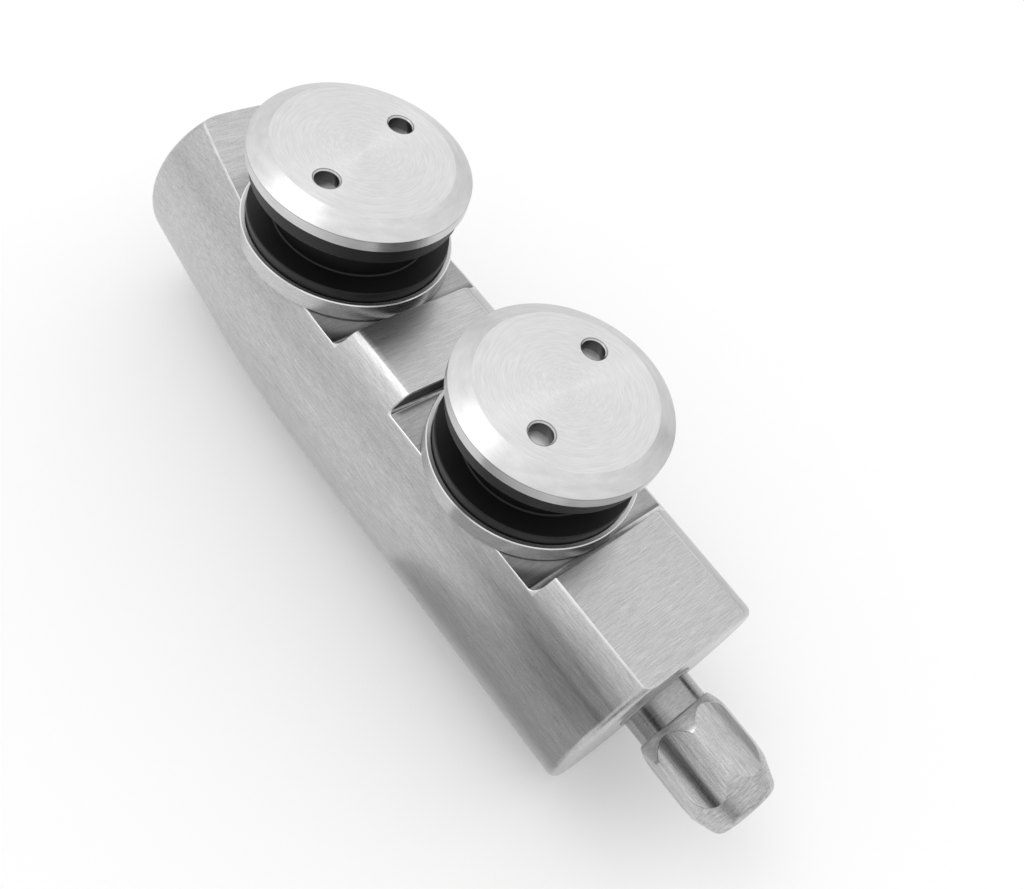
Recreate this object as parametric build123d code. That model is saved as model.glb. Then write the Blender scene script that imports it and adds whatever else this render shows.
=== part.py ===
from build123d import *
import math
import os

# Glass patch fitting: a turned stainless bar milled flat along its top, with two
# screw-down glass clamps and a pivot pin that turns in bushes in its end.
# Millimetres. The origin is on the pivot axis at the body's end face, +X runs out
# along the pin, and +Z is the direction in which the clamps stand on the body.

os.makedirs("parts", exist_ok=True)

# Fits
running_play = 0.05
press_play = 0.02
screw_play = 0.05
seat_gap = 0.1
drill_point_angle = 118.0

# Body: the turned bar
body_r = 28.7
body_length = 172.0
end_round = 2.0
taper_from_end = 119.2
taper_angle = 6.6
taper_blend_r = 290.0
nose_dome_rise = 1.0
nose_corner_r = 2.5

# Body: the flats and pockets milled into it
pocket_floor_z = 20.7
pocket_depth = 3.6
front_land_length = 29.8
front_wall_foot_r = 2.0
middle_front_foot_r = 1.0
middle_back_foot_r = 1.6
middle_land_edge_r = 4.5
front_land_edge_r = 0.4
floor_edge_r = 0.4

# Clamps: places on the body and heights above the pocket floor
clamp_spacing = 70.0
cup_r = 24.0
cup_to_wall = 1.2
cup_height = 4.95
cup_edge_chamfer = 0.2
cup_foot_chamfer = 0.35
cup_recess_r = 23.0
cup_recess_depth = 1.2
cup_seat_thickness = 3.0
boss_r = 15.0
boss_top = 15.3
clamp_thread_r = 10.0
thread_mouth_chamfer = 0.8

# Lower gasket and spacer bush round the boss
gasket_r = 22.75
gasket_height = 3.85
gasket_edge_r = 0.3
gasket_lip = 0.3
spacer_wall = 2.25

# Upper gasket and clamp disc
glass_gap = 10.0
upper_gasket_r = 23.0
upper_gasket_height = 4.4
upper_gasket_play = 0.6
upper_gasket_edge_r = 0.4
disc_r = 24.0
disc_rim = 2.9
disc_chamfer_height = 2.4
disc_face_r = 19.7
disc_edge_break = 0.2
spigot_length = 12.4
spanner_pcd = 26.2
spanner_hole_r = 2.6
spanner_hole_depth = 3.2
spanner_mouth = 0.35
spanner_angle_1 = -70.9
spanner_angle_2 = -65.4

# Base screw and dowel under each clamp
base_screw_r = 4.0
base_screw_head_r = 6.5
base_screw_head_height = 4.0
base_screw_reach = 16.0
base_screw_socket_af = 5.0
base_screw_socket_depth = 2.5
head_edge_r = 0.5
dowel_r = 2.0
dowel_in_cup = 2.2
dowel_in_body = 6.0
dowel_circle_r = 12.5
dowel_chamfer = 0.3

# Pivot: spindle, bushes and washer in the body's bore
spindle_r = 9.0
bore_depth = 44.0
bush_wall = 0.95
bush_length = 14.0
bush_proud = 0.45
thrust_washer_thickness = 2.0
neck_length = 6.65
stub_r = 6.0
stub_length = 15.4
spindle_chamfer = 0.6

# Retaining screw from the back into the spindle's groove
retaining_screw_x = 21.0
retaining_screw_r = 3.0
retaining_screw_sunk = 0.8
retaining_screw_socket_af = 3.0
retaining_screw_socket_depth = 3.0
retaining_dog_r = 2.0
groove_depth = 1.8
groove_width = 6.0
dog_to_groove = 0.3

# Pivot head: turned, with six flats milled round it
head_length = 25.0
head_r = 11.2
head_seam_r = 9.7
head_shoulder_length = 4.3
head_shoulder_blend_r = 3.7
head_nose_length = 8.5
head_nose_blend_r = 14.0
head_end_r = 8.0
head_end_round = 2.4
head_flat_af = 20.1
head_flat_angle = 21.4
head_flat_edge_r = 0.5
head_seam_chamfer = 0.35

# Worked out from the sizes above
bore_r = spindle_r + running_play + bush_wall
pocket_half = cup_r + cup_to_wall
land_z = pocket_floor_z + pocket_depth
front_wall_x = -front_land_length
clamp_2_x = front_wall_x - pocket_half
middle_front_x = clamp_2_x - pocket_half
clamp_1_x = clamp_2_x - clamp_spacing
middle_back_x = clamp_1_x + pocket_half
recess_floor = cup_height - cup_recess_depth
gasket_top = recess_floor + gasket_height
upper_gasket_z = gasket_top + glass_gap
disc_z = upper_gasket_z + upper_gasket_height
spacer_r = boss_r + seat_gap + spacer_wall
base_screw_head_top = cup_seat_thickness + base_screw_head_height
groove_r = spindle_r - groove_depth


def turned(corners, axis):
    """A solid turned about the axis, from corners given as (x, z) in the XZ plane."""
    outline = Plane.XZ * make_face(Polyline(*corners, close=True))
    return revolve(outline, axis)


def ring(outer_r, inner_r, bottom, top, edge):
    """A turned washer or sleeve about Z, with its outer edges broken."""
    corners = [(inner_r, bottom), (outer_r - edge, bottom), (outer_r, bottom + edge)]
    corners += [(outer_r, top - edge), (outer_r - edge, top), (inner_r, top)]
    return turned(corners, Axis.Z)


def sleeve(outer_r, inner_r, x_from, x_to, edge):
    """A turned sleeve about X, with its outer edges broken."""
    corners = [(x_from, inner_r), (x_from, outer_r - edge), (x_from + edge, outer_r)]
    corners += [(x_to - edge, outer_r), (x_to, outer_r - edge), (x_to, inner_r)]
    return turned(corners, Axis.X)


def drilled(radius, depth):
    """What a drill takes out of a face at z = 0: a hole that ends in the drill's point."""
    point = radius / math.tan(math.radians(drill_point_angle / 2))
    corners = [(0, 1), (radius, 1), (radius, -depth), (0, -depth - point)]
    return turned(corners, Axis.Z)


def hexagon(across_flats, depth):
    """A hexagonal prism that stands on z = 0."""
    return extrude(RegularPolygon(across_flats / 2, 6, major_radius=False), depth)


def turned_bar():
    """The body before milling: a cylinder that tapers to a domed nose."""
    nose_x = -(body_length - nose_dome_rise)
    nose_r = body_r - (-nose_x - taper_from_end) * math.tan(math.radians(taper_angle))
    dome_r = (nose_dome_rise ** 2 + nose_r ** 2) / (2 * nose_dome_rise)
    half_turn = math.asin(nose_r / dome_r) / 2
    dome_centre = -body_length + dome_r
    dome_middle = (dome_centre - dome_r * math.cos(half_turn), dome_r * math.sin(half_turn))
    taper_start = (-taper_from_end, body_r)
    sides = Polyline((-body_length, 0), (0, 0), (0, body_r), taper_start, (nose_x, nose_r))
    dome = ThreePointArc((nose_x, nose_r), dome_middle, (-body_length, 0))
    outline = make_face([*sides.edges(), dome])
    rounds = [((0, body_r), end_round), (taper_start, taper_blend_r), ((nose_x, nose_r), nose_corner_r)]
    for corner, radius in rounds:
        outline = fillet(outline.vertices().sort_by_distance(corner)[0], radius)
    return revolve(Plane.XZ * outline, Axis.X)


def milled_away():
    """What the cutter takes off the top: down to the lands, and deeper in the two pockets."""
    past = body_r
    corners = [(past, land_z), (front_wall_x, land_z), (front_wall_x, pocket_floor_z)]
    corners += [(middle_front_x, pocket_floor_z), (middle_front_x, land_z)]
    corners += [(middle_back_x, land_z), (middle_back_x, pocket_floor_z)]
    corners += [(-body_length - past, pocket_floor_z), (-body_length - past, 2 * body_r), (past, 2 * body_r)]
    outline = make_face(Polyline(*corners, close=True))
    feet = [(front_wall_x, front_wall_foot_r), (middle_front_x, middle_front_foot_r)]
    feet += [(middle_back_x, middle_back_foot_r)]
    for x, radius in feet:
        outline = fillet(outline.vertices().sort_by_distance((x, pocket_floor_z))[0], radius)
    return extrude(Plane.XZ * outline, 2 * body_r, both=True)


def land_edges(solid, x_from, x_to):
    """The two side edges of the land between the two places."""
    middle = (x_from + x_to) / 2
    found = solid.edges().filter_by(Axis.X).filter_by_position(Axis.Z, land_z - 0.01, land_z + 0.01)
    return found.filter_by_position(Axis.X, middle - abs(x_to - x_from) / 4, middle + abs(x_to - x_from) / 4)


def floor_edges(solid):
    """The outer edges of the pocket floors. Their round runs on up the walls and over the tops."""
    floors = solid.faces().filter_by(Axis.Z)
    floors = floors.filter_by_position(Axis.Z, pocket_floor_z - 0.01, pocket_floor_z + 0.01)
    return floors.edges().filter_by(lambda edge: abs((edge @ 1 - edge @ 0).X) > 0.01)


def make_body():
    body = turned_bar() - milled_away()
    body = fillet(land_edges(body, middle_back_x, middle_front_x), middle_land_edge_r)
    body = fillet(land_edges(body, front_wall_x, 0), front_land_edge_r)
    body = fillet(floor_edges(body), floor_edge_r)
    body -= Location((0, 0, 0), (0, 90, 0)) * Cylinder(bore_r, 2 * bore_depth)
    for x in (clamp_1_x, clamp_2_x):
        floor = Pos(x, 0, pocket_floor_z)
        # The spot face clears the cup's edge where the walls' feet curve up beside it.
        body -= floor * Pos(0, 0, cup_height / 2) * Cylinder(cup_r + seat_gap, cup_height)
        body -= floor * drilled(base_screw_r + screw_play, base_screw_reach)
        body -= floor * Pos(dowel_circle_r, 0, 0) * drilled(dowel_r + press_play, dowel_in_body)
    body -= Pos(-retaining_screw_x, 0, -body_r / 2) * Cylinder(retaining_screw_r + screw_play, body_r)
    return body


def make_base_cup():
    """Flange with a recess for the gasket, and a threaded boss that reaches through the glass."""
    mouth = thread_mouth_chamfer
    corners = [(base_screw_r + seat_gap, 0), (cup_r - cup_foot_chamfer, 0), (cup_r, cup_foot_chamfer)]
    corners += [(cup_r, cup_height - cup_edge_chamfer)]
    corners += [(cup_r - cup_edge_chamfer, cup_height), (cup_recess_r, cup_height)]
    corners += [(cup_recess_r, recess_floor), (boss_r, recess_floor), (boss_r, boss_top - mouth / 2)]
    corners += [(boss_r - mouth / 2, boss_top), (clamp_thread_r + mouth, boss_top)]
    corners += [(clamp_thread_r, boss_top - mouth), (clamp_thread_r, cup_seat_thickness)]
    corners += [(base_screw_r + seat_gap, cup_seat_thickness)]
    cup = turned(corners, Axis.Z)
    return cup - Pos(dowel_circle_r, 0, dowel_in_cup / 2) * Cylinder(dowel_r + press_play, dowel_in_cup)


def make_base_screw():
    head_r = base_screw_head_r
    corners = [(0, -base_screw_reach), (base_screw_r - head_edge_r, -base_screw_reach)]
    corners += [(base_screw_r, -base_screw_reach + head_edge_r), (base_screw_r, cup_seat_thickness)]
    corners += [(head_r, cup_seat_thickness), (head_r, base_screw_head_top - head_edge_r)]
    corners += [(head_r - head_edge_r, base_screw_head_top), (0, base_screw_head_top)]
    screw = turned(corners, Axis.Z)
    socket = hexagon(base_screw_socket_af, base_screw_socket_depth)
    return screw - Pos(0, 0, base_screw_head_top - base_screw_socket_depth) * socket


def make_base_dowel():
    pin = ring(dowel_r, 0, -dowel_in_body, dowel_in_cup, dowel_chamfer)
    return Pos(dowel_circle_r, 0, 0) * pin


def make_lower_gasket():
    """Rubber ring in the cup's recess, with a thin lip that stands up round the spacer bush."""
    inner_r = spacer_r + seat_gap
    corners = [(inner_r, recess_floor), (gasket_r, recess_floor), (gasket_r, gasket_top)]
    corners += [(inner_r + gasket_lip, gasket_top), (inner_r, gasket_top + gasket_lip)]
    outline = make_face(Polyline(*corners, close=True))
    outline = fillet(outline.vertices().sort_by_distance((gasket_r, gasket_top))[0], gasket_edge_r)
    return revolve(Plane.XZ * outline, Axis.Z)


def make_upper_gasket():
    """Rubber ring under the disc, with round outer edges."""
    inner_r = boss_r + upper_gasket_play
    corners = [(inner_r, upper_gasket_z), (upper_gasket_r, upper_gasket_z), (upper_gasket_r, disc_z)]
    corners += [(inner_r, disc_z)]
    outline = make_face(Polyline(*corners, close=True))
    for z in (upper_gasket_z, disc_z):
        outline = fillet(outline.vertices().sort_by_distance((upper_gasket_r, z))[0], upper_gasket_edge_r)
    return revolve(Plane.XZ * outline, Axis.Z)


def make_clamp_disc(hole_angle):
    """Bevelled disc on a threaded spigot, with two holes for a pin spanner."""
    thread_r = clamp_thread_r - running_play
    bottom = disc_z - spigot_length
    rim_top = disc_z + disc_rim
    face_z = rim_top + disc_chamfer_height
    corners = [(0, bottom), (thread_r - disc_edge_break, bottom), (thread_r, bottom + disc_edge_break)]
    corners += [(thread_r, disc_z), (disc_r - disc_edge_break, disc_z), (disc_r, disc_z + disc_edge_break)]
    corners += [(disc_r, rim_top), (disc_face_r, face_z), (0, face_z)]
    disc = turned(corners, Axis.Z)
    mouth_r = spanner_hole_r + spanner_mouth
    mouth = turned([(0, 0), (mouth_r, 0), (spanner_hole_r, -spanner_mouth), (0, -spanner_mouth)], Axis.Z)
    hole = Pos(0, 0, -spanner_hole_depth / 2) * Cylinder(spanner_hole_r, spanner_hole_depth) + mouth
    for side in (0, 180):
        disc -= Pos(0, 0, face_z) * Rot(0, 0, hole_angle + side) * Pos(spanner_pcd / 2, 0, 0) * hole
    return disc


def make_spindle():
    """Shaft in the bushes, with a groove for the retaining screw and a threaded stub for the head."""
    inner = -bore_depth + thrust_washer_thickness
    chamfer_r = spindle_r - spindle_chamfer
    groove_from = -retaining_screw_x - groove_width / 2
    groove_to = -retaining_screw_x + groove_width / 2
    stub_end = neck_length + stub_length
    corners = [(inner, 0), (inner, chamfer_r), (inner + spindle_chamfer, spindle_r)]
    corners += [(groove_from, spindle_r), (groove_from, groove_r), (groove_to, groove_r), (groove_to, spindle_r)]
    corners += [(neck_length, spindle_r), (neck_length, stub_r), (stub_end - spindle_chamfer, stub_r)]
    corners += [(stub_end, stub_r - spindle_chamfer), (stub_end, 0)]
    return turned(corners, Axis.X)


def make_head():
    """Turned barrel with a coned shoulder and nose, and six milled flats."""
    seam = neck_length
    end = seam + head_length
    nose = (end - head_nose_length, head_r)
    shoulder = (seam + head_shoulder_length, head_r)
    corners = [(end, 0), (seam, 0), (seam, head_seam_r - head_seam_chamfer)]
    corners += [(seam + head_seam_chamfer, head_seam_r)]
    outline = make_face(Polyline(*corners, shoulder, nose, (end, head_end_r), close=True))
    rounds = [(shoulder, head_shoulder_blend_r), (nose, head_nose_blend_r), ((end, head_end_r), head_end_round)]
    for corner, radius in rounds:
        outline = fillet(outline.vertices().sort_by_distance(corner)[0], radius)
    head = revolve(Plane.XZ * outline, Axis.X)
    head &= Rot(0, 90, 0) * Rot(0, 0, head_flat_angle) * hexagon(head_flat_af, 2 * end)
    planes = head.faces().filter_by(GeomType.PLANE)
    flats = planes.filter_by(lambda face: abs(face.normal_at().X) < 0.5)
    head = fillet(flats.edges(), head_flat_edge_r)
    hole_depth = stub_length + seat_gap
    return head - Pos(seam + hole_depth / 2, 0, 0) * Rot(0, 90, 0) * Cylinder(stub_r + running_play, hole_depth)


def make_retaining_screw():
    """Grub screw with a dog point that runs in the spindle's groove."""
    outer = body_r - retaining_screw_sunk
    shoulder = bore_r + seat_gap
    tip = groove_r + dog_to_groove
    corners = [(0, -outer), (retaining_screw_r, -outer), (retaining_screw_r, -shoulder)]
    corners += [(retaining_dog_r, -shoulder), (retaining_dog_r, -tip), (0, -tip)]
    screw = turned(corners, Axis.Z)
    screw -= Pos(0, 0, -outer) * hexagon(retaining_screw_socket_af, retaining_screw_socket_depth)
    return Pos(-retaining_screw_x, 0, 0) * screw


def save(name, piece):
    piece.label = name
    export_step(piece, f"parts/{name}.step")


bush_r = bore_r - press_play
bush_bore_r = spindle_r + running_play
washer_x = -bore_depth + thrust_washer_thickness

save("body", make_body())
save("front_bush", sleeve(bush_r, bush_bore_r, bush_proud - bush_length, bush_proud, disc_edge_break))
save("rear_bush", sleeve(bush_r, bush_bore_r, washer_x, washer_x + bush_length, disc_edge_break))
save("thrust_washer", sleeve(bore_r - seat_gap, 0, -bore_depth, washer_x, disc_edge_break))
save("retaining_screw", make_retaining_screw())
save("pivot_spindle", make_spindle())
save("pivot_head", make_head())

for number, x, hole_angle in ((1, clamp_1_x, spanner_angle_1), (2, clamp_2_x, spanner_angle_2)):
    place = Pos(x, 0, pocket_floor_z)
    spacer_bush = ring(spacer_r, boss_r + seat_gap, recess_floor, boss_top, disc_edge_break)
    save(f"base_cup_{number}", place * make_base_cup())
    save(f"base_screw_{number}", place * make_base_screw())
    save(f"base_dowel_{number}", place * make_base_dowel())
    save(f"lower_gasket_{number}", place * make_lower_gasket())
    save(f"spacer_bush_{number}", place * spacer_bush)
    save(f"upper_gasket_{number}", place * make_upper_gasket())
    save(f"clamp_disc_{number}", place * make_clamp_disc(hole_angle))
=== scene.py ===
import math

import bpy
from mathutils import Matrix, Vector


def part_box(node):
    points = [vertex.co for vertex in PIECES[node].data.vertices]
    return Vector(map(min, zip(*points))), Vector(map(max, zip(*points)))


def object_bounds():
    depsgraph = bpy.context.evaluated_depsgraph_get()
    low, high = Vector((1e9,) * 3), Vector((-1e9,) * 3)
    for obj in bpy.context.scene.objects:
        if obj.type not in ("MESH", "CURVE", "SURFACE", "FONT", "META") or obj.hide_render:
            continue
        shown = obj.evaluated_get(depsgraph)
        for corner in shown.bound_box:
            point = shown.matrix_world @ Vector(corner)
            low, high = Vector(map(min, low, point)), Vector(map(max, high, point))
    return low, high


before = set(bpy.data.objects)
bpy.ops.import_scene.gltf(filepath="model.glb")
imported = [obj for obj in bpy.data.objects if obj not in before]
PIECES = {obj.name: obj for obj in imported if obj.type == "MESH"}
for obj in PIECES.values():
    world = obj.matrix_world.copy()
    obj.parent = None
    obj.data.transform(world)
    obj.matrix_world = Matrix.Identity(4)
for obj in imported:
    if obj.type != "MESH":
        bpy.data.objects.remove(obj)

# A glass patch fitting in satin stainless steel, lit in a pale studio. Places and sizes are in
# millimetres and turns in degrees, in the part's frame: the pin runs along +X and the clamps stand
# up along +Z.

MM = 0.001
SOLID_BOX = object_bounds()

# Camera
CAMERA_PLACE = (7.965, -121.367, 200.356)
CAMERA_TURN = (33.304, -19.835, 48.187)
CAMERA_LENS = 36.18
CAMERA_SENSOR = 36.0
CAMERA_SHIFT = (-0.0859, 0.0405)
CAMERA_NEAREST = 10.0
CAMERA_FARTHEST = 20000.0

# Studio. Each sky level is a share of the way up from the foot of the sky, and the grey there
FLOOR_SIZE = 8000.0
FLOOR_DROP = 0.3
FLOOR_WHITE = 0.88
FLOOR_GLOW = 0.1
SKY_LEVELS = ((0.0, 0.66), (0.1, 0.66), (0.35, 0.75), (0.6, 0.95), (0.8, 1.05), (1.0, 1.08))
SKY_FOOT = -0.11
SKY_LEAN = 0.14
SOFTBOX_PLACE = (-560.0, -380.0, 1180.0)
SOFTBOX_TARGET = (-70.0, 0.0, 0.0)
SOFTBOX_SIZE = 640.0
SOFTBOX_LEVEL = 1.26

# Cards that show only in the steel as painted reflections: centre, size and grey of each
REFLECTION_CARDS = {
    "front_card": ((-109.0, -900.0, 297.0), (242.0, 645.0), 0.02),
    "neck_card": ((-20.0, -900.0, 940.0), (66.0, 640.0), 0.3),
    "front_strip": ((111.0, -900.0, 192.0), (178.0, 236.0), 0.03),
    "back_card": ((-6.0, 100.0, 42.0), (28.0, 30.0), 0.1),
    "head_card": ((27.0, 100.0, 34.0), (30.0, 38.0), 0.65),
    "side_card": ((600.0, -560.0, 180.0), (420.0, 410.0), 0.0),
}
# Cards that lie on the floor and show only in the steel, as a painted shadow on the floor in its
# reflections: centre, size, turn and grey of each
FLOOR_SHADOW_CARDS = {
    "near_floor_shadow_card": ((-28.0, -92.0), (78.0, 116.0), 0.0, 0.5),
    "far_floor_shadow_card": ((-56.0, -500.0), (80.0, 700.0), -6.0, 0.2),
}

# The clamps, and the pockets and lands round them. Clamp 2 is the one by the pin
CLAMP_X = {"1": -125.0, "2": -55.0}
CLAMP_SPACING = CLAMP_X["2"] - CLAMP_X["1"]
POCKET_LENGTH = 50.4
POCKET_DEPTH = 3.6
POCKET_FLOOR_Z = 20.7
LAND_Z = POCKET_FLOOR_Z + POCKET_DEPTH
FRONT_WALL_X = CLAMP_X["2"] + POCKET_LENGTH / 2
CUP_HEIGHT = 4.95

# Where the pockets' painted shade starts and ends. The corner is measured from the wall by the pin
POCKET_FLOOR_MARGIN = 0.5
CORNER_REACH = (-3.2, -1.6)
WALL_MARGIN = 1.0
FAR_SHADE_X = -148.0
FAR_SHADE_FADE = 6.0
FAR_WALL_MARGIN = 4.0

# The head's flats: how many, where the first one is, half their width and how far their sides lean
HEAD_FLATS = 6
HEAD_FLAT_ANGLE = 21.4
HEAD_FLAT_HALF = 4.95
HEAD_CROWN = 14.0

# The discs' spanner holes, and the corner between bevel and rim
SPANNER_PCD = 26.2
SPANNER_HOLE_R = 2.6
SPANNER_MOUTH = 0.35
SPANNER_ANGLE = {"1": -70.9, "2": -65.4}
MOUTH_LINE_DEPTH = 0.6
DISC_CORNER_DEPTH = 2.5

# The two distances between which a painted highlight, a painted dark line or a painted shade fades
EDGE_HIGHLIGHT_WIDTH = (0.1, 0.4)
MOUTH_LINE_WIDTH = (0.06, 0.16)
DISC_CORNER_WIDTH = (0.06, 0.18)
HOLE_WALL_WIDTH = (0.1, 0.2)
HOLE_WALL_DEPTH = (0.3, 0.5)
LIP_HEIGHT = (0.2, 0.26)
LIP_WIDTH = (0.24, 0.3)

# How squarely a face points before it takes the finish of a milled flat, a wall or a turned face
FLAT_FACING = (0.96, 0.985)
WALL_FACING = (0.9, 0.97)
HEAD_FLAT_FACING = (0.9975, 0.9995)
HEAD_CONE_FACING = (0.12, 0.25)
TURNED_FACE_FACING = (0.6, 0.8)

# Greys of the steel, and what its lines, streaks and patches add to them
BAR_GREY = 0.36
BAR_LINE_GREY = 0.24
BAR_STREAK_GREY = 0.05
BAR_PATCH_GREY = 0.03
HEAD_GREY = 0.34
HEAD_LINE_GREY = 0.3
HEAD_PATCH_GREY = 0.04
TURNED_PATCH_GREY = 0.012
# Painted highlights along the bar's edges and the cups' lips: their grey, and how strongly the edge one
# shows, evenly and with the streaks
PAINTED_HIGHLIGHT_GREY = 0.9
EDGE_HIGHLIGHT_STRENGTH = 0.3
EDGE_HIGHLIGHT_STREAK_STRENGTH = 0.5
PORE_GREY = 0.1
BUSH_GREY = 0.3
BUSH_PATCH_GREY = 0.05

# Shares of its grey that the steel loses to painted shade in the pockets, the spanner holes and along the
# discs' corners. The holes' floors gain some instead, as painted light
POCKET_SHADE = 0.3
CORNER_SHADE = 0.65
WALL_SHADE = 0.65
HOLE_WALL_SHADE = 0.78
HOLE_FLOOR_PAINTED_LIGHT = -0.3
MOUTH_LINE_SHADE = 0.55
DISC_CORNER_SHADE = 0.35

# Roughness of each finish, and what streaks or bands add to it
BAR_ROUGH = 0.3
FLAT_ROUGH = 0.27
HEAD_FLAT_ROUGH = 0.14
HEAD_CONE_ROUGH = 0.36
STREAK_ROUGH = 0.05
BAND_ROUGH = 0.03
BUSH_ROUGH = 0.45
BUSH_PATCH_ROUGH = 0.1
RUBBER_ROUGH = 0.35
RUBBER_GRAIN_ROUGH = 0.15
FLOOR_ROUGH = 0.9
CARD_ROUGH = 1.0

# What is turned: grey of its faces and sides, roughness, stretch of the highlight, and its rings
PIN_FINISH = {"level": 0.34, "rough": 0.18, "stretch": 0.3, "contrast": 0.14}
SCREW_FINISH = {"level": 0.5, "rough": 0.35, "stretch": 0.0}
CUP_FINISH = {"level": 0.5, "side_level": 0.56, "rough": 0.26, "stretch": 0.6}
DISC_FINISH = {"level": 0.7, "side_level": 0.64, "rough": 0.3, "stretch": 0.85,
               "arc": 4.0, "contrast": 0.12, "band": 0.02}

# What is moulded: its grey and the specks of its grain to a metre, then the shares of that grey that
# are always there and that the grain and the dust add
GASKET_FINISH = {"level": 0.008, "specks": 2500.0}
SPACER_FINISH = {"level": 0.006, "specks": 1500.0}
RUBBER_BASE = 0.6
RUBBER_GRAIN = 0.5
RUBBER_DUST = 0.3
RUBBER_SHINE = 0.35

# Lines, rings, pores and patches: how many to a metre, how long in metres, how deep in millimetres
BAR_LINES = {"Lines_Per_Metre": 3700.0, "Line_Length": 0.0035}
FLAT_LINES = {"Lines_Per_Metre": 3700.0, "Line_Length": 0.0045}
HEAD_LINES = {"Lines_Per_Metre": 3200.0, "Line_Length": 0.006}
RINGS_PER_METRE = 3000.0
BAR_END_ARC = 6.0
HEAD_ARC = 5.0
BAR_LINE_DEPTH = 0.004
RING_DEPTH = 0.002
PORE_DEPTH = 0.01
RUBBER_GRAIN_DEPTH = 0.02
PORES_PER_METRE = 2600.0
PORE_EDGES = (0.1, 0.5)
PATCHES_PER_METRE = {"bar": 45.0, "turned": 70.0, "rubber": 120.0, "bush": 150.0, "head": 160.0}
PATCH_STRETCH = (0.5, 1.0, 1.0)
STEEL_STRETCH = {"bar": 0.5, "head": 0.25}

# The part of a noise's range that its light and dark places fill
NOISE_LOW = 0.3
NOISE_HIGH = 0.7


def in_metres(place):
    return [v * MM for v in place]


def fill_socket(socket, value):
    """Links the socket to another one, or gives it a plain number or vector."""
    if isinstance(value, bpy.types.NodeSocket):
        socket.id_data.links.new(value, socket)
    else:
        socket.default_value = value


def add(tree, kind, **values):
    """A new node, with the named sockets filled in. Underscores stand for spaces."""
    made = tree.nodes.new(kind)
    for name, value in values.items():
        fill_socket(made.inputs[name.replace("_", " ")], value)
    return made


def calc(tree, operation, *values):
    made = tree.nodes.new("ShaderNodeMath")
    made.operation = operation
    for socket, value in zip(made.inputs, values):
        fill_socket(socket, value)
    return made.outputs[0]


def vector_calc(tree, operation, *values):
    made = tree.nodes.new("ShaderNodeVectorMath")
    made.operation = operation
    for socket, value in zip(made.inputs, values):
        fill_socket(socket, value)
    return made.outputs["Value" if operation in ("LENGTH", "DOT_PRODUCT") else "Vector"]


def join(tree, x, y, z):
    """A vector from its three parts."""
    return add(tree, "ShaderNodeCombineXYZ", X=x, Y=y, Z=z).outputs[0]


def parts_of(tree, vector):
    return add(tree, "ShaderNodeSeparateXYZ", Vector=vector).outputs


def opposite(tree, mask):
    return calc(tree, "SUBTRACT", 1.0, mask)


def spread(tree, value, low, high, to_low=0.0, to_high=1.0, smooth=True):
    """Takes a value from one range to another, held at both ends."""
    made = tree.nodes.new("ShaderNodeMapRange")
    made.interpolation_type = "SMOOTHSTEP" if smooth else "LINEAR"
    made.clamp = True
    fill_socket(made.inputs["Value"], value)
    fill_socket(made.inputs["From Min"], low)
    fill_socket(made.inputs["From Max"], high)
    fill_socket(made.inputs["To Min"], to_low)
    fill_socket(made.inputs["To Max"], to_high)
    return made.outputs["Result"]


def fade_out(tree, distance, width, full=1.0):
    """Full up to the first distance in the pair of millimetres and nothing from the second on."""
    near, far = in_metres(width)
    return spread(tree, distance, near, far, full, 0.0)


def fade_in(tree, distance, width):
    """Nothing up to the first distance in the pair of millimetres and full from the second on."""
    near, far = in_metres(width)
    return spread(tree, distance, near, far)


def blend(tree, kind, factor, first, second):
    """A mix of two vectors or numbers."""
    made = tree.nodes.new("ShaderNodeMix")
    made.data_type = kind
    made.clamp_factor = True
    offset = {"FLOAT": 2, "VECTOR": 4}[kind]
    fill_socket(made.inputs[0], factor)
    fill_socket(made.inputs[offset], first)
    fill_socket(made.inputs[offset + 1], second)
    return made.outputs[{"FLOAT": 0, "VECTOR": 1}[kind]]


def noise(tree, place, scale, detail, rough=0.6):
    made = add(tree, "ShaderNodeTexNoise", Vector=place, Scale=scale, Detail=detail, Roughness=rough)
    return made.outputs[0]


def full_range(tree, value, smooth=False):
    """Stretches a noise so that it runs from 0 to 1."""
    return spread(tree, value, NOISE_LOW, NOISE_HIGH, smooth=smooth)


def grey(level):
    return (level, level, level, 1.0)


def grey_socket(tree, level):
    """A grey colour from a level that changes over the surface."""
    return add(tree, "ShaderNodeCombineColor", Red=level, Green=level, Blue=level).outputs[0]


def new_group(name, inputs, outputs):
    """An empty shader node group with the named inputs and outputs."""
    group = bpy.data.node_groups.new(name, "ShaderNodeTree")
    group.interface.new_socket("Vector", in_out="INPUT", socket_type="NodeSocketVector")
    for label, start in inputs.items():
        socket = group.interface.new_socket(label, in_out="INPUT", socket_type="NodeSocketFloat")
        socket.default_value = start
    for label in outputs:
        group.interface.new_socket(label, in_out="OUTPUT", socket_type="NodeSocketFloat")
    return group, group.nodes.new("NodeGroupInput").outputs, group.nodes.new("NodeGroupOutput").inputs


def brush_lines_group():
    """Straight scratches of an abrasive belt. The lines run along the vector's X."""
    grain_share = 0.38
    streak_stretch = (0.12, 0.2, 0.2)
    starts = {"Lines Per Metre": 2500.0, "Line Length": 0.005}
    group, given, result = new_group("brush_lines", starts, ("Lines", "Streaks"))
    close = given["Lines Per Metre"]
    closeness = join(group, calc(group, "DIVIDE", 1.0, given["Line Length"]), close, close)
    stretched = vector_calc(group, "MULTIPLY", given["Vector"], closeness)
    fine = noise(group, stretched, scale=1.0, detail=2.0)
    grain = noise(group, given["Vector"], scale=close, detail=1.0, rough=0.5)
    streaks = vector_calc(group, "MULTIPLY", stretched, streak_stretch)
    streaks = noise(group, streaks, scale=1.0, detail=3.0)
    lines = blend(group, "FLOAT", grain_share, fine, grain)
    group.links.new(full_range(group, lines), result["Lines"])
    group.links.new(full_range(group, streaks), result["Streaks"])
    return group


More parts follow.
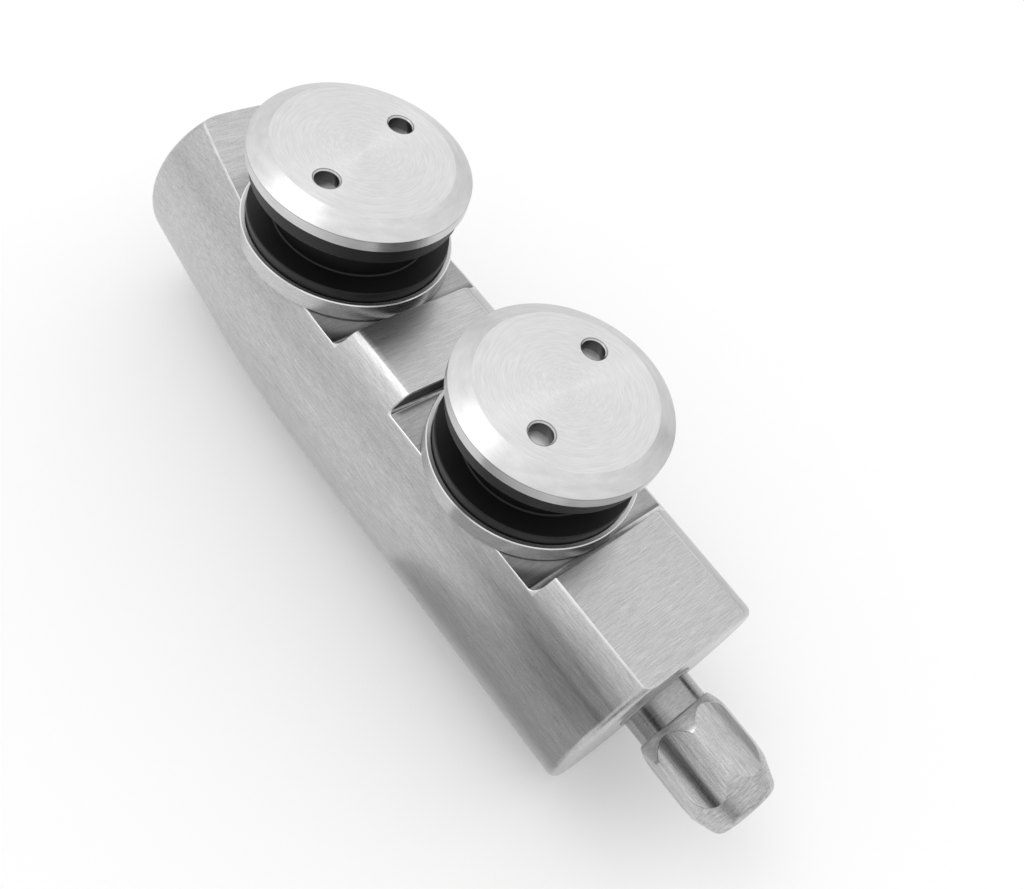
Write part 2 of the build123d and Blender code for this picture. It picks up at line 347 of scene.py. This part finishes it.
def ring_noise(group, given, across, round_way, closeness, arc_share, detail):
    """Noise that is stretched round the axis. A smaller share of the arc makes longer rings."""
    reach = calc(group, "MULTIPLY", given["Arc"], arc_share)
    place = join(group, calc(group, "MULTIPLY", across, closeness),
                 calc(group, "MULTIPLY", round_way["X"], reach),
                 calc(group, "MULTIPLY", round_way["Y"], reach))
    return noise(group, place, scale=1.0, detail=detail)


def turning_marks_group():
    """Rings left by a lathe tool round the vector's Z axis, with the grain of the satin finish over them."""
    grain_share = 0.22
    rings_up_sides = 1.37
    starts = {"Marks Per Metre": 2500.0, "Arc": 7.0}
    group, given, result = new_group("turning_marks", starts, ("Marks", "Bands"))
    flat = vector_calc(group, "MULTIPLY", given["Vector"], (1.0, 1.0, 0.0))
    radius = vector_calc(group, "LENGTH", flat)
    round_way = parts_of(group, vector_calc(group, "NORMALIZE", flat))
    climb = calc(group, "MULTIPLY", parts_of(group, given["Vector"])["Z"], rings_up_sides)
    across = calc(group, "MULTIPLY", calc(group, "ADD", radius, climb), given["Marks Per Metre"])
    marks = ring_noise(group, given, across, round_way, closeness=1.0, arc_share=1.0, detail=2.0)
    bands = ring_noise(group, given, across, round_way, closeness=0.3, arc_share=0.12, detail=3.0)
    grain = noise(group, given["Vector"], scale=given["Marks Per Metre"], detail=1.0, rough=0.5)
    marks = blend(group, "FLOAT", grain_share, marks, grain)
    group.links.new(full_range(group, marks), result["Marks"])
    group.links.new(full_range(group, bands), result["Bands"])
    return group


def soft_tone_group():
    """Slow changes of tone from handling and uneven finishing."""
    group, given, result = new_group("soft_tone", {"Patches Per Metre": 60.0}, ("Tone",))
    patches = noise(group, given["Vector"], scale=given["Patches Per Metre"], detail=3.0, rough=0.55)
    group.links.new(full_range(group, patches, smooth=True), result["Tone"])
    return group


BRUSH_LINES = brush_lines_group()
TURNING_MARKS = turning_marks_group()
SOFT_TONE = soft_tone_group()


def place_group(tree, group, **values):
    made = tree.nodes.new("ShaderNodeGroup")
    made.node_tree = group
    for name, value in values.items():
        fill_socket(made.inputs[name.replace("_", " ")], value)
    return made.outputs


def soft_tone(tree, place, finish):
    made = place_group(tree, SOFT_TONE, Vector=place, Patches_Per_Metre=PATCHES_PER_METRE[finish])
    return made["Tone"]


def new_material(name):
    material = bpy.data.materials.new(name)
    material.use_nodes = True
    tree = material.node_tree
    tree.nodes.clear()
    shader = tree.nodes.new("ShaderNodeBsdfPrincipled")
    out = tree.nodes.new("ShaderNodeOutputMaterial")
    tree.links.new(shader.outputs[0], out.inputs["Surface"])
    return material, tree, shader


def new_metal(name, stretch):
    """A metal whose highlight is stretched by this share."""
    material, tree, shader = new_material(name)
    shader.inputs["Metallic"].default_value = 1.0
    shader.inputs["Anisotropic"].default_value = stretch
    return material, tree, shader


def matt_paper(name, level, rough):
    """A plain grey sheet without a shine, for the floor and the cards."""
    material, tree, shader = new_material(name)
    shader.inputs["Base Color"].default_value = grey(level)
    shader.inputs["Roughness"].default_value = rough
    shader.inputs["Specular IOR Level"].default_value = 0.0
    return material, tree, shader


def object_place(tree):
    return add(tree, "ShaderNodeTexCoord").outputs["Object"]


def turned_place(tree, axis, centre_x=0.0):
    """Object coordinates centred on a turning axis, which becomes Z."""
    centred = vector_calc(tree, "SUBTRACT", object_place(tree), (centre_x * MM, 0.0, 0.0))
    if axis == "Z":
        return centred
    parts = parts_of(tree, centred)
    return join(tree, parts["Y"], parts["Z"], parts["X"])


def object_normal(tree):
    world = tree.nodes.new("ShaderNodeNewGeometry").outputs["True Normal"]
    turn = add(tree, "ShaderNodeVectorTransform", Vector=world)
    turn.vector_type = "NORMAL"
    turn.convert_from = "WORLD"
    turn.convert_to = "OBJECT"
    return turn.outputs[0]


def to_world(tree, direction):
    turn = add(tree, "ShaderNodeVectorTransform", Vector=direction)
    turn.vector_type = "VECTOR"
    turn.convert_from = "OBJECT"
    turn.convert_to = "WORLD"
    return turn.outputs[0]


def away_from_axis(tree, place, across_axis):
    """The direction straight out from an axis. The second vector has 1 across the axis and 0 along it."""
    return vector_calc(tree, "NORMALIZE", vector_calc(tree, "MULTIPLY", place, across_axis))


def round_the_bar(tree, at):
    """The direction round the X axis."""
    way = join(tree, 0.0, calc(tree, "MULTIPLY", at["Z"], -1.0), at["Y"])
    return vector_calc(tree, "NORMALIZE", way)


def raise_lines(tree, shader, height, depth):
    """Gives the surface the relief of its lines."""
    bump = add(tree, "ShaderNodeBump", Strength=1.0, Distance=depth * MM, Height=height)
    tree.links.new(bump.outputs[0], shader.inputs["Normal"])
    return bump


def colour_and_polish(tree, shader, level, rough):
    tree.links.new(grey_socket(tree, level), shader.inputs["Base Color"])
    tree.links.new(rough, shader.inputs["Roughness"])


def painted_pocket_shade(tree, at, up, wall, between, from_wall):
    """Painted shade on the pockets' floors and walls. The floors get the most painted shade in the corner
    below a wall.
    """
    on_floor = calc(tree, "LESS_THAN", at["Z"], (POCKET_FLOOR_Z + POCKET_FLOOR_MARGIN) * MM)
    in_pocket = calc(tree, "MULTIPLY", up, on_floor)
    fading = spread(tree, at["X"], (FAR_SHADE_X - FAR_SHADE_FADE) * MM, FAR_SHADE_X * MM)
    in_pocket = calc(tree, "MULTIPLY", in_pocket, fading)
    corner_start, corner_end = in_metres(CORNER_REACH)
    in_corner = spread(tree, from_wall, corner_start, corner_end, POCKET_SHADE, CORNER_SHADE)
    on_wall = calc(tree, "MULTIPLY", calc(tree, "MULTIPLY", wall, between), WALL_SHADE)
    return calc(tree, "MAXIMUM", calc(tree, "MULTIPLY", in_pocket, in_corner), on_wall)


def painted_edge_highlight(tree, at, milled, from_wall, streaks):
    """A painted highlight along the top edges of the bar's round side, uneven with the streaks."""
    past_pocket = calc(tree, "LESS_THAN", from_wall, -POCKET_LENGTH * MM)
    before_far_clamp = calc(tree, "GREATER_THAN", at["X"], CLAMP_X["1"] * MM)
    on_middle_land = calc(tree, "MULTIPLY", past_pocket, before_far_clamp)
    past_front_land = calc(tree, "LESS_THAN", at["X"], FRONT_WALL_X * MM)
    in_low_part = calc(tree, "MULTIPLY", past_front_land, opposite(tree, on_middle_land))
    top = calc(tree, "MULTIPLY_ADD", in_low_part, -POCKET_DEPTH * MM, LAND_Z * MM)
    below_edge = calc(tree, "SUBTRACT", top, at["Z"])
    near_edge = fade_out(tree, below_edge, EDGE_HIGHLIGHT_WIDTH)
    on_side = calc(tree, "MULTIPLY", near_edge, opposite(tree, milled))
    uneven = calc(tree, "MULTIPLY_ADD", streaks, EDGE_HIGHLIGHT_STREAK_STRENGTH, EDGE_HIGHLIGHT_STRENGTH)
    return calc(tree, "MULTIPLY", on_side, uneven)


def add_evenly(tree, mask, strength, value):
    """Adds a noise that lightens and darkens alike."""
    return calc(tree, "MULTIPLY_ADD", calc(tree, "SUBTRACT", mask, 0.5), strength, value)


def satin_bar():
    """Belt-brushed bar: lines along the round side, lines across the milled flats, rings on the ends."""
    material, tree, shader = new_metal("satin_bar_steel", STEEL_STRETCH["bar"])
    place = object_place(tree)
    at = parts_of(tree, place)
    facing = parts_of(tree, object_normal(tree))
    up = spread(tree, facing["Z"], *FLAT_FACING)
    wall = spread(tree, calc(tree, "ABSOLUTE", facing["X"]), *WALL_FACING)
    between = calc(tree, "MULTIPLY",
                   calc(tree, "LESS_THAN", at["X"], (FRONT_WALL_X + WALL_MARGIN) * MM),
                   calc(tree, "GREATER_THAN", at["X"], (FAR_SHADE_X - FAR_WALL_MARGIN) * MM))
    end = calc(tree, "MULTIPLY", wall, opposite(tree, between))
    milled = calc(tree, "MAXIMUM", up, wall)
    from_wall = calc(tree, "SUBTRACT", at["X"], FRONT_WALL_X * MM)
    from_wall = calc(tree, "WRAP", from_wall, 0.0, -CLAMP_SPACING * MM)

    rings = place_group(tree, TURNING_MARKS, Vector=turned_place(tree, "X"),
                        Marks_Per_Metre=RINGS_PER_METRE, Arc=BAR_END_ARC)
    side = place_group(tree, BRUSH_LINES, Vector=place, **BAR_LINES)
    flat = place_group(tree, BRUSH_LINES, Vector=join(tree, at["Y"], at["X"], at["Z"]), **FLAT_LINES)
    brushed = blend(tree, "FLOAT", milled, side["Lines"], flat["Lines"])
    fine = blend(tree, "FLOAT", end, brushed, rings["Marks"])
    streaks = blend(tree, "FLOAT", milled, side["Streaks"], flat["Streaks"])
    patches = soft_tone(tree, vector_calc(tree, "MULTIPLY", place, PATCH_STRETCH), "bar")

    level = calc(tree, "MULTIPLY_ADD", fine, BAR_LINE_GREY, BAR_GREY)
    level = calc(tree, "MULTIPLY_ADD", streaks, BAR_STREAK_GREY, level)
    level = calc(tree, "MULTIPLY_ADD", patches, BAR_PATCH_GREY, level)
    # Painted shade in the pockets, darkest in the corner below each front wall
    painted_shading = painted_pocket_shade(tree, at, up, wall, between, from_wall)
    level = calc(tree, "MULTIPLY", level, opposite(tree, painted_shading))
    # Painted highlight along the top edges of the round side
    edge_highlight = painted_edge_highlight(tree, at, milled, from_wall, streaks)
    level = blend(tree, "FLOAT", edge_highlight, level, PAINTED_HIGHLIGHT_GREY)
    rough = calc(tree, "MULTIPLY_ADD", streaks, STREAK_ROUGH,
                 blend(tree, "FLOAT", milled, BAR_ROUGH, FLAT_ROUGH))
    colour_and_polish(tree, shader, level, rough)

    over_flats = blend(tree, "VECTOR", wall, (1.0, 0.0, 0.0), (0.0, 0.0, 1.0))
    outward = away_from_axis(tree, place, (0.0, 1.0, 1.0))
    over_flats = blend(tree, "VECTOR", end, over_flats, outward)
    stretch_way = blend(tree, "VECTOR", milled, round_the_bar(tree, at), over_flats)
    tree.links.new(to_world(tree, stretch_way), shader.inputs["Tangent"])
    raise_lines(tree, shader, fine, BAR_LINE_DEPTH)
    return material


def paint_hole_shading(tree, place, end_on, level, angle, face_z):
    """Painted shade on the spanner holes' walls and painted light on their floors, with a painted dark line
    round their mouths and one along the disc's corner.
    """
    turn = math.radians(angle)
    along = vector_calc(tree, "DOT_PRODUCT", place, (math.cos(turn), math.sin(turn), 0.0))
    across = vector_calc(tree, "DOT_PRODUCT", place, (-math.sin(turn), math.cos(turn), 0.0))
    off = calc(tree, "SUBTRACT", calc(tree, "ABSOLUTE", along), SPANNER_PCD / 2 * MM)
    reach = vector_calc(tree, "LENGTH", join(tree, off, across, 0.0))
    height = parts_of(tree, place)["Z"]

    past_bore = calc(tree, "SUBTRACT", reach, SPANNER_HOLE_R * MM)
    in_bore = fade_out(tree, past_bore, HOLE_WALL_WIDTH)
    depth = calc(tree, "SUBTRACT", face_z, height)
    in_depth = fade_in(tree, depth, HOLE_WALL_DEPTH)
    inside = calc(tree, "MULTIPLY", in_bore, in_depth)
    shade = blend(tree, "FLOAT", end_on, HOLE_WALL_SHADE, HOLE_FLOOR_PAINTED_LIGHT)
    painted_shading = calc(tree, "MULTIPLY", inside, shade)

    off_mouth = calc(tree, "SUBTRACT", reach, (SPANNER_HOLE_R + SPANNER_MOUTH) * MM)
    mouth = fade_out(tree, calc(tree, "ABSOLUTE", off_mouth), MOUTH_LINE_WIDTH, MOUTH_LINE_SHADE)
    mouth = calc(tree, "MULTIPLY", mouth, calc(tree, "LESS_THAN", depth, MOUTH_LINE_DEPTH * MM))

    off_corner = calc(tree, "SUBTRACT", depth, DISC_CORNER_DEPTH * MM)
    corner = fade_out(tree, calc(tree, "ABSOLUTE", off_corner), DISC_CORNER_WIDTH, DISC_CORNER_SHADE)
    painted_shading = calc(tree, "MAXIMUM", painted_shading, calc(tree, "MAXIMUM", mouth, corner))
    return calc(tree, "MULTIPLY", level, opposite(tree, painted_shading))


def paint_lip_highlight(tree, place, level, rim_r, rim_z):
    """A painted highlight along the cup's top edge."""
    below_top = calc(tree, "SUBTRACT", rim_z, parts_of(tree, place)["Z"])
    radius = vector_calc(tree, "LENGTH", vector_calc(tree, "MULTIPLY", place, (1.0, 1.0, 0.0)))
    inside_rim = calc(tree, "SUBTRACT", rim_r, radius)
    edge = calc(tree, "MULTIPLY", fade_out(tree, below_top, LIP_HEIGHT),
                fade_out(tree, inside_rim, LIP_WIDTH))
    return blend(tree, "FLOAT", edge, level, PAINTED_HIGHLIGHT_GREY)


def turned_steel(name, axis, level, rough, stretch, centre_x=0.0, arc=7.0, contrast=0.09, band=0.03,
                 side_level=None, holes=None, lip_highlight=None):
    """Steel turned about an axis: rings round it, and a highlight that stretches across them."""
    material, tree, shader = new_metal(name, stretch)
    place = turned_place(tree, axis, centre_x)
    rings = place_group(tree, TURNING_MARKS, Vector=place, Marks_Per_Metre=RINGS_PER_METRE, Arc=arc)
    patches = soft_tone(tree, place, "turned")
    outward = away_from_axis(tree, place, (1.0, 1.0, 0.0))
    along = (0.0, 0.0, 1.0)
    if axis == "X":
        split = parts_of(tree, outward)
        outward = join(tree, 0.0, split["X"], split["Y"])
        along = (1.0, 0.0, 0.0)
    facing = calc(tree, "ABSOLUTE", vector_calc(tree, "DOT_PRODUCT", object_normal(tree), along))
    end_on = spread(tree, facing, *TURNED_FACE_FACING)

    value = blend(tree, "FLOAT", end_on, level if side_level is None else side_level, level)
    value = add_evenly(tree, rings["Marks"], contrast, value)
    value = add_evenly(tree, rings["Bands"], band, value)
    value = calc(tree, "MULTIPLY_ADD", patches, TURNED_PATCH_GREY, value)
    # Painted highlight along the cup's lip
    if lip_highlight is not None:
        value = paint_lip_highlight(tree, place, value, *lip_highlight)
    # Painted shade and light in the spanner holes, and painted dark lines round their mouths and along the
    # disc's corner
    if holes is not None:
        value = paint_hole_shading(tree, place, end_on, value, *holes)
    colour_and_polish(tree, shader, value, calc(tree, "MULTIPLY_ADD", rings["Bands"], BAND_ROUGH, rough))

    stretch_way = blend(tree, "VECTOR", end_on, along, outward)
    tree.links.new(to_world(tree, stretch_way), shader.inputs["Tangent"])
    raise_lines(tree, shader, rings["Marks"], RING_DEPTH)
    return material


def moulded_rubber(name, level, specks):
    """Moulded rubber or plastic, with a fine grain and faint dust."""
    material, tree, shader = new_material(name)
    shader.inputs["Specular IOR Level"].default_value = RUBBER_SHINE
    place = object_place(tree)
    grain = noise(tree, place, scale=specks, detail=3.0)
    patches = soft_tone(tree, place, "rubber")
    value = calc(tree, "MULTIPLY_ADD", grain, level * RUBBER_GRAIN, level * RUBBER_BASE)
    value = calc(tree, "MULTIPLY_ADD", patches, level * RUBBER_DUST, value)
    colour_and_polish(tree, shader, value,
                      calc(tree, "MULTIPLY_ADD", grain, RUBBER_GRAIN_ROUGH, RUBBER_ROUGH))
    raise_lines(tree, shader, grain, RUBBER_GRAIN_DEPTH)
    return material


def sintered_bush():
    """Grey sintered bearing metal with open pores."""
    material, tree, shader = new_metal("sintered_bush", 0.0)
    place = object_place(tree)
    pores = add(tree, "ShaderNodeTexVoronoi", Vector=place, Scale=PORES_PER_METRE).outputs["Distance"]
    patches = soft_tone(tree, place, "bush")
    value = calc(tree, "MULTIPLY_ADD", spread(tree, pores, *PORE_EDGES), PORE_GREY, BUSH_GREY)
    value = calc(tree, "MULTIPLY_ADD", patches, BUSH_PATCH_GREY, value)
    colour_and_polish(tree, shader, value,
                      calc(tree, "MULTIPLY_ADD", patches, BUSH_PATCH_ROUGH, BUSH_ROUGH))
    raise_lines(tree, shader, pores, PORE_DEPTH)
    return material


def nearest_flat(tree, at):
    """The direction of the nearest flat of the head, the direction across it and the place across it."""
    half = math.pi / HEAD_FLATS
    angle = calc(tree, "ARCTAN2", at["Z"], at["Y"])
    offset = calc(tree, "SUBTRACT", angle, math.radians(HEAD_FLAT_ANGLE))
    offset = calc(tree, "WRAP", offset, half, -half)
    middle = calc(tree, "SUBTRACT", angle, offset)
    cosine = calc(tree, "COSINE", middle)
    sine = calc(tree, "SINE", middle)
    flat_way = join(tree, 0.0, cosine, sine)
    across_way = join(tree, 0.0, calc(tree, "MULTIPLY", sine, -1.0), cosine)
    off_axis = join(tree, 0.0, at["Y"], at["Z"])
    return flat_way, across_way, vector_calc(tree, "DOT_PRODUCT", off_axis, across_way)


def crowned_normal(tree, facing, at):
    """The surface's direction, with each flat of the head slightly rounded across by the belt."""
    flat_way, across_way, sideways = nearest_flat(tree, at)
    on_flat = spread(tree, vector_calc(tree, "DOT_PRODUCT", facing, flat_way), *HEAD_FLAT_FACING)
    slope = math.tan(math.radians(HEAD_CROWN)) / (HEAD_FLAT_HALF * MM)
    lean = calc(tree, "MULTIPLY", calc(tree, "MULTIPLY", sideways, slope), on_flat)
    leaning = vector_calc(tree, "MULTIPLY", across_way, join(tree, lean, lean, lean))
    crowned = to_world(tree, vector_calc(tree, "ADD", facing, leaning))
    return vector_calc(tree, "NORMALIZE", crowned)


def brushed_head():
    """Head with flats brushed along it, slightly crowned by the belt, and a turned shoulder and nose."""
    material, tree, shader = new_metal("brushed_head_steel", STEEL_STRETCH["head"])
    place = object_place(tree)
    at = parts_of(tree, place)
    facing = object_normal(tree)
    fine = place_group(tree, BRUSH_LINES, Vector=place, **HEAD_LINES)
    rings = place_group(tree, TURNING_MARKS, Vector=turned_place(tree, "X"),
                        Marks_Per_Metre=RINGS_PER_METRE, Arc=HEAD_ARC)
    coned = spread(tree, calc(tree, "ABSOLUTE", parts_of(tree, facing)["X"]), *HEAD_CONE_FACING)
    worked = blend(tree, "FLOAT", coned, fine["Lines"], rings["Marks"])

    level = calc(tree, "MULTIPLY_ADD", worked, HEAD_LINE_GREY, HEAD_GREY)
    level = calc(tree, "MULTIPLY_ADD", soft_tone(tree, place, "head"), HEAD_PATCH_GREY, level)
    rough = calc(tree, "MULTIPLY_ADD", fine["Streaks"], STREAK_ROUGH,
                 blend(tree, "FLOAT", coned, HEAD_FLAT_ROUGH, HEAD_CONE_ROUGH))
    colour_and_polish(tree, shader, level, rough)

    stretch_way = blend(tree, "VECTOR", coned, round_the_bar(tree, at), (1.0, 0.0, 0.0))
    tree.links.new(to_world(tree, stretch_way), shader.inputs["Tangent"])
    bump = raise_lines(tree, shader, worked, RING_DEPTH)
    tree.links.new(crowned_normal(tree, facing, at), bump.inputs["Normal"])
    return material


def turned_disc(number):
    """Bright turned steel of a clamp disc, with painted shade and light in its spanner holes."""
    face_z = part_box(f"clamp_disc_{number}")[1].z
    return turned_steel(f"turned_disc_steel_{number}", "Z", centre_x=CLAMP_X[number],
                        holes=(SPANNER_ANGLE[number], face_z), **DISC_FINISH)


def turned_cup(number):
    """Turned steel of a clamp's base cup, with a painted highlight along its lip."""
    low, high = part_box(f"base_cup_{number}")
    return turned_steel(f"turned_cup_steel_{number}", "Z", centre_x=CLAMP_X[number],
                        lip_highlight=(high.y, low.z + CUP_HEIGHT * MM), **CUP_FINISH)


def finish(name, material):
    data = PIECES[name].data
    data.materials.clear()
    data.materials.append(material)


def finish_pivot():
    spindle = turned_steel("turned_pin_steel", "X", **PIN_FINISH)
    bush = sintered_bush()
    finish("pivot_spindle", spindle)
    finish("pivot_head", brushed_head())
    finish("front_bush", bush)
    finish("rear_bush", bush)


def finish_clamps(screw_steel):
    gasket = moulded_rubber("gasket_rubber", **GASKET_FINISH)
    spacer = moulded_rubber("spacer_plastic", **SPACER_FINISH)
    for number in CLAMP_X:
        finish(f"clamp_disc_{number}", turned_disc(number))
        finish(f"base_cup_{number}", turned_cup(number))
        finish(f"base_screw_{number}", screw_steel)
        finish(f"base_dowel_{number}", screw_steel)
        finish(f"lower_gasket_{number}", gasket)
        finish(f"upper_gasket_{number}", gasket)
        finish(f"spacer_bush_{number}", spacer)


def make_camera():
    data = bpy.data.cameras.new("camera")
    data.sensor_width = CAMERA_SENSOR
    data.lens = CAMERA_LENS
    data.shift_x, data.shift_y = CAMERA_SHIFT
    data.clip_start = CAMERA_NEAREST * MM
    data.clip_end = CAMERA_FARTHEST * MM
    camera = bpy.data.objects.new("camera", data)
    camera.location = in_metres(CAMERA_PLACE)
    camera.rotation_euler = [math.radians(v) for v in CAMERA_TURN]
    bpy.context.scene.collection.objects.link(camera)
    bpy.context.scene.camera = camera


def make_floor():
    """Pale floor that keeps the soft shadow. Its glow lifts it to white without more light on the part."""
    material, tree, shader = matt_paper("floor", FLOOR_WHITE, FLOOR_ROUGH)
    seen = tree.nodes.new("ShaderNodeLightPath").outputs
    looked_at = calc(tree, "MAXIMUM", seen["Is Camera Ray"], seen["Is Glossy Ray"])
    looked_at = calc(tree, "MAXIMUM", looked_at, seen["Is Transmission Ray"])
    glow = grey_socket(tree, calc(tree, "MULTIPLY", looked_at, FLOOR_GLOW))
    tree.links.new(glow, shader.inputs["Emission Color"])
    shader.inputs["Emission Strength"].default_value = 1.0
    low = SOLID_BOX[0].z - FLOOR_DROP * MM
    bpy.ops.mesh.primitive_plane_add(size=FLOOR_SIZE * MM, location=(0, 0, low))
    floor = bpy.context.object
    floor.name = "floor"
    floor.data.materials.append(material)


def make_sky():
    """Pale studio all round, brighter overhead and towards the body's far end."""
    world = bpy.data.worlds.new("studio")
    bpy.context.scene.world = world
    world.use_nodes = True
    tree = world.node_tree
    way = parts_of(tree, add(tree, "ShaderNodeTexCoord").outputs["Generated"])
    ramp = add(tree, "ShaderNodeValToRGB", Fac=spread(tree, way["Z"], SKY_FOOT, 1.0, smooth=False))
    stops = ramp.color_ramp.elements
    stops[0].position = SKY_LEVELS[0][0]
    stops[0].color = grey(SKY_LEVELS[0][1])
    stops[1].position = SKY_LEVELS[-1][0]
    stops[1].color = grey(SKY_LEVELS[-1][1])
    for position, level in SKY_LEVELS[1:-1]:
        stops.new(position).color = grey(level)
    lean = calc(tree, "MULTIPLY_ADD", way["X"], -SKY_LEAN, 1.0)
    leaning = vector_calc(tree, "MULTIPLY", ramp.outputs[0], join(tree, lean, lean, lean))
    background = tree.nodes["Background"].inputs
    tree.links.new(leaning, background["Color"])
    background["Strength"].default_value = 1.0


def aim(thing, place, target):
    thing.location = in_metres(place)
    way = Vector(in_metres(target)) - thing.location
    thing.rotation_euler = way.to_track_quat("-Z", "Y").to_euler()


def make_softbox():
    data = bpy.data.lights.new("softbox", "AREA")
    data.shape = "SQUARE"
    data.size = SOFTBOX_SIZE * MM
    data.energy = SOFTBOX_LEVEL * math.pi * data.size ** 2
    lamp = bpy.data.objects.new("softbox", data)
    bpy.context.scene.collection.objects.link(lamp)
    aim(lamp, SOFTBOX_PLACE, SOFTBOX_TARGET)


def make_reflection_card(name, size, level):
    """A card that shows only in the steel, a painted reflection that draws the steel's edges."""
    bpy.ops.mesh.primitive_plane_add(size=1.0)
    card = bpy.context.object
    card.name = name
    card.data.materials.append(matt_paper(name, level, CARD_ROUGH)[0])
    card.scale = (size[0] * MM, size[1] * MM, 1.0)
    card.visible_camera = False
    card.visible_diffuse = False
    card.visible_shadow = False
    return card


def make_cards():
    for name, (place, size, level) in REFLECTION_CARDS.items():
        aim(make_reflection_card(name, size, level), place, (place[0], 0.0, place[2]))
    just_over_floor = SOLID_BOX[0].z - FLOOR_DROP * MM / 2
    for name, (place, size, turn, level) in FLOOR_SHADOW_CARDS.items():
        lying = make_reflection_card(name, size, level)
        lying.location = (place[0] * MM, place[1] * MM, just_over_floor)
        lying.rotation_euler = (0.0, 0.0, math.radians(turn))


make_camera()
make_floor()
make_sky()
make_softbox()
make_cards()

screw_steel = turned_steel("screw_steel", "Z", **SCREW_FINISH)
finish("body", satin_bar())
finish("retaining_screw", screw_steel)
finish("thrust_washer", screw_steel)
finish_pivot()
finish_clamps(screw_steel)

bpy.context.scene.view_settings.view_transform = "Standard"
